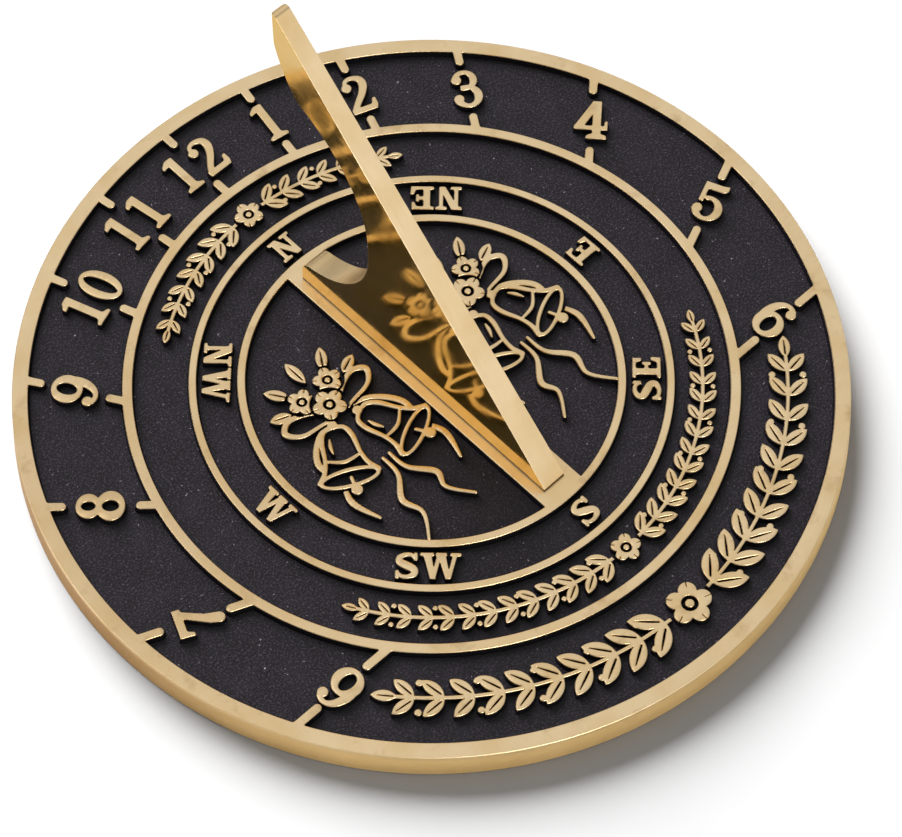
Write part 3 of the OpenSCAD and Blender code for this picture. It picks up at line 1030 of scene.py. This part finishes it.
def reach_of(hour, radius):
    """Distance along an hour line to the circle of this radius about the dial's centre."""
    along = HOUR_ORIGIN * math.cos(math.radians(bearing(hour)))
    return along + math.sqrt(along**2 - HOUR_ORIGIN**2 + radius**2)


def on_hour_line(hour, distance):
    """The point at a distance along an hour line."""
    b = math.radians(bearing(hour))
    return distance * math.sin(b), distance * math.cos(b) - HOUR_ORIGIN


def hour_marks():
    """The pair of marks at each hour: one in from the rim and one out from the hour ring."""
    shapes = []
    for hour in range(-6, 7):
        length = TICK_LEN + LATE_GAIN * max(0, abs(hour) - LATE_HOUR) - TICK_W / 2
        ends = (
            (reach_of(hour, RIM_IN + RIM_W / 2), reach_of(hour, RIM_IN) - length),
            (reach_of(hour, HOUR_RING_OUT - HOUR_RING_W / 2),
             reach_of(hour, HOUR_RING_OUT) + length),
        )
        for pair_of in ends:
            shapes += stroke([(*on_hour_line(hour, d), TICK_W) for d in pair_of], count=1)
    return shapes


def add_casting(material):
    painted = brass([round_plate(RIM_OUT)])
    for outer, inner in ((RIM_OUT, RIM_IN), (HOUR_RING_OUT, HOUR_RING_IN),
                         (LEAF_RING_OUT, LEAF_RING_IN), (COMPASS_RING_OUT, FIELD_R)):
        painted += brass([round_plate(outer)]) + bare([round_plate(inner)])
    half_bar = FIELD_R + COMPASS_RING_W / 2
    painted += brass([box(-BAR_W / 2, -half_bar, BAR_W / 2, half_bar)] + hour_marks())
    piece = add_cast("dial_casting", casting_mesh("dial_casting", outline(painted)), material)
    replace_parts(piece, "dial_plate")


def add_numbers(material):
    for hour, shapes in hour_figures().items():
        x, y = on_hour_line(hour, reach_of(hour, HOUR_MID))
        shift_x, shift_y = FIGURE_SHIFT.get(hour, (0, 0))
        centred = change(brass(shapes), move, 0, -TALL / 2)
        half_day = "am" if hour < 0 else "pm"
        name = f"hour_number_{(hour + 11) % 12 + 1}_{half_day}"
        add_relief(name, place(centred, -bearing(hour), x + shift_x, y + shift_y), material)


def add_letters(material):
    for name, (where, shapes) in compass_letters().items():
        upright = 0 if name == "N" else 180
        centred = change(change(brass(shapes), move, 0, -CAP / 2), rotate, upright)
        add_relief(f"compass_{name}", around(centred, COMPASS_MID, where), material)


def add_ornament(material):
    garlands = {
        "garland_hour_band": garland(HOUR_MID, 180, HOUR_REACH, **HOUR_LEAVES),
        "garland_north": garland(LEAF_MID, 0, NORTH_REACH, **INNER_LEAVES),
        "garland_south": garland(LEAF_MID, 180, SOUTH_REACH, **INNER_LEAVES),
    }
    for name, painted in garlands.items():
        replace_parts(add_relief(name, painted, material), "dial_plate")
    west = place(bell_group(), 0, MOTIF_X, MOTIF_Y)
    add_relief("bells_west", west, material)
    add_relief("bells_east", change(west, mirror), material)


def add_gnomon(polished, satin):
    """A copy of the CAD gnomon with welded, slightly rounded edges."""
    mesh = bmesh.new()
    mesh.from_mesh(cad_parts["gnomon"].data)
    bmesh.ops.remove_doubles(mesh, verts=mesh.verts, dist=CAD_WELD * MM)
    bmesh.ops.dissolve_limit(mesh, angle_limit=math.radians(CAD_FLAT), verts=mesh.verts,
                             edges=mesh.edges)
    data = bpy.data.meshes.new("gnomon_dressed")
    mesh.to_mesh(data)
    mesh.free()
    piece = add_object("gnomon_dressed", data, polished, satin)
    for face in data.polygons:
        face.material_index = 0 if abs(face.normal.x) > SIDE_FACING else 1
        face.use_smooth = True
    bevel = piece.modifiers.new("edge", "BEVEL")
    bevel.width = EDGE_R * MM
    bevel.segments = EDGE_STEPS
    bevel.limit_method = "ANGLE"
    bevel.angle_limit = math.radians(EDGE_ANGLE)
    bevel.material = 1
    data.set_sharp_from_angle(angle=math.radians(EDGE_CREASE))
    flatten_shading(piece)
    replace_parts(piece, "gnomon")


def dress_cad(name, material):
    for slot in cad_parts[name].material_slots:
        slot.material = material


# Studio

CAMERA_AT = (-274.75, -283.45, 656.80)
CAMERA_TURN = (30.549, -0.282, -44.292)
CAMERA_LENS = 130.30
SENSOR_W = 36.0
FLOOR_HALF = 6000
WORLD_LIGHT = 0.4
FLOOR_TONES = (0.195, 0.205)
KEY_FROM = (210, 890, 430)
KEY_SPREAD = 50
KEY_STRENGTH = 35

# Place, size and power of each panel of light
PANELS = {
    "panel_east": ((500, 520, 1200), 1500, 2.8),
    "panel_west": ((-560, 520, 1200), 1000, 2.9),
    "panel_south": ((480, -1180, 390), 1300, 2.2),
    "fill": ((-400, -1115, 600), 500, 8.5),
    "glint": ((-750, 560, 300), 400, 1.2),
}


def add_camera():
    lens = bpy.data.cameras.new("camera")
    lens.sensor_width = SENSOR_W
    lens.lens = CAMERA_LENS
    lens.clip_start = 10 * MM
    camera = bpy.data.objects.new("camera", lens)
    camera.location = [v * MM for v in CAMERA_AT]
    camera.rotation_euler = [math.radians(v) for v in CAMERA_TURN]
    bpy.context.scene.collection.objects.link(camera)
    bpy.context.scene.camera = camera


def add_lamp(name, kind, at):
    """A light that looks at the dial's centre."""
    light = bpy.data.lights.new(name, kind)
    lamp = bpy.data.objects.new(name, light)
    lamp.location = [v * MM for v in at]
    lamp.rotation_euler = (-lamp.location).to_track_quat("-Z", "Y").to_euler()
    bpy.context.scene.collection.objects.link(lamp)
    return lamp


def add_key():
    """Broad light from the north, which casts the shadow and isn't seen in the brass."""
    key = add_lamp("key", "SUN", KEY_FROM)
    key.data.angle = math.radians(KEY_SPREAD)
    key.data.energy = KEY_STRENGTH
    key.visible_glossy = False


def add_panel(name, at, size, power):
    panel = add_lamp(name, "AREA", at)
    panel.data.size = size * MM
    panel.data.energy = power


def add_studio():
    mesh = bmesh.new()
    bmesh.ops.create_grid(mesh, x_segments=1, y_segments=1, size=FLOOR_HALF * MM)
    data = bpy.data.meshes.new("floor")
    mesh.to_mesh(data)
    mesh.free()
    data.materials.append(pale_floor())
    floor = bpy.data.objects.new("floor", data)
    bpy.context.scene.collection.objects.link(floor)
    world = bpy.data.worlds.new("studio")
    world.use_nodes = True
    background = world.node_tree.nodes["Background"]
    background.inputs["Color"].default_value = (1, 1, 1, 1)
    background.inputs["Strength"].default_value = WORLD_LIGHT
    bpy.context.scene.world = world
    bpy.context.scene.view_settings.view_transform = "Standard"
    add_key()
    for name, panel in PANELS.items():
        add_panel(name, *panel)


def main():
    relief = cast_relief()
    add_casting(relief)
    dress_cad("gnomon_screws", screw_brass())
    enamel = black_enamel()
    for name in ("hour_band", "leaf_band", "compass_band", "west_field", "east_field"):
        dress_cad(f"enamel_{name}", enamel)
    add_numbers(relief)
    add_letters(relief)
    add_ornament(relief)
    add_gnomon(mirror_brass(), satin_brass())
    add_studio()
    add_camera()


main()
